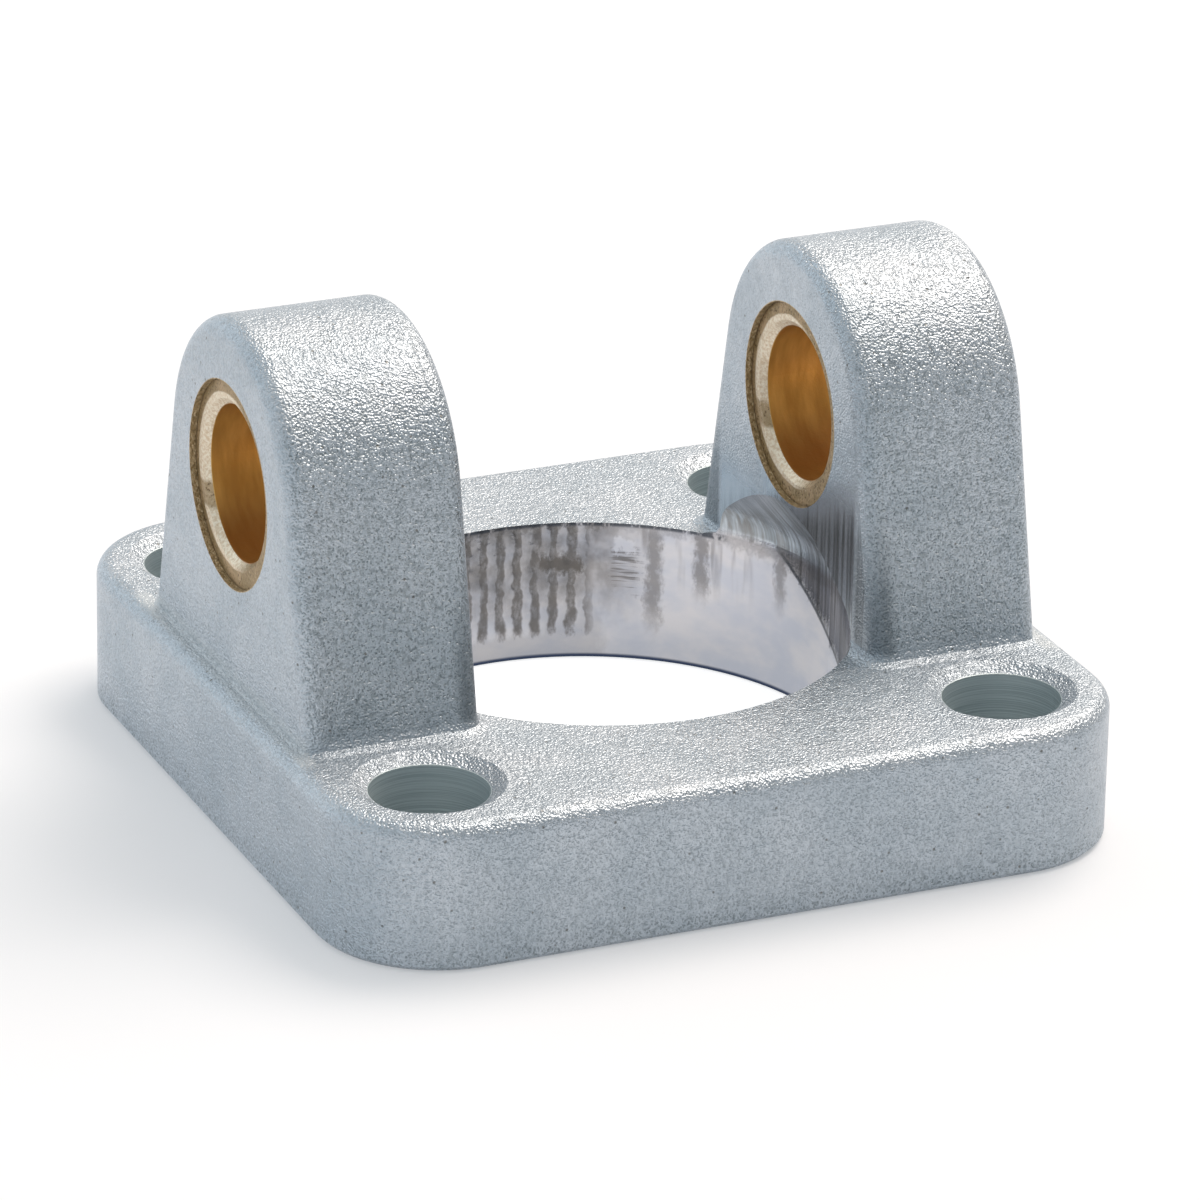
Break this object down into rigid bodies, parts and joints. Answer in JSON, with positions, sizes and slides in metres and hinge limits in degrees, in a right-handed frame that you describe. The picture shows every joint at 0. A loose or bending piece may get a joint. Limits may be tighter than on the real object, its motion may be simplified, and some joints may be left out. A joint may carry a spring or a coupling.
{
  "type": "cylinder trunnion mount",
  "caption": "Cast clevis mount for a cylinder: a square bolt-on flange with a spigot bore, and upright ears with bronze bushes for a pivot pin.",
  "frame": {"origin": "centre of the flange's mounting face, on the axis of the spigot bore", "axes": "+Z away from the mounting face towards the ears, +X along the pivot pin's axis towards bush_right, -Y is the front of the picture"},
  "size_m": [0.0636, 0.0636, 0.0397],
  "materials": {
    "zinc_casting": "rough cast, zinc plated",
    "bush_bronze": "sintered, with a smooth bore"
  },
  "bodies": {
    "root": {"clevis_body": "zinc_casting", "bush_left": "bush_bronze", "bush_right": "bush_bronze"}
  },
  "joints": []
}
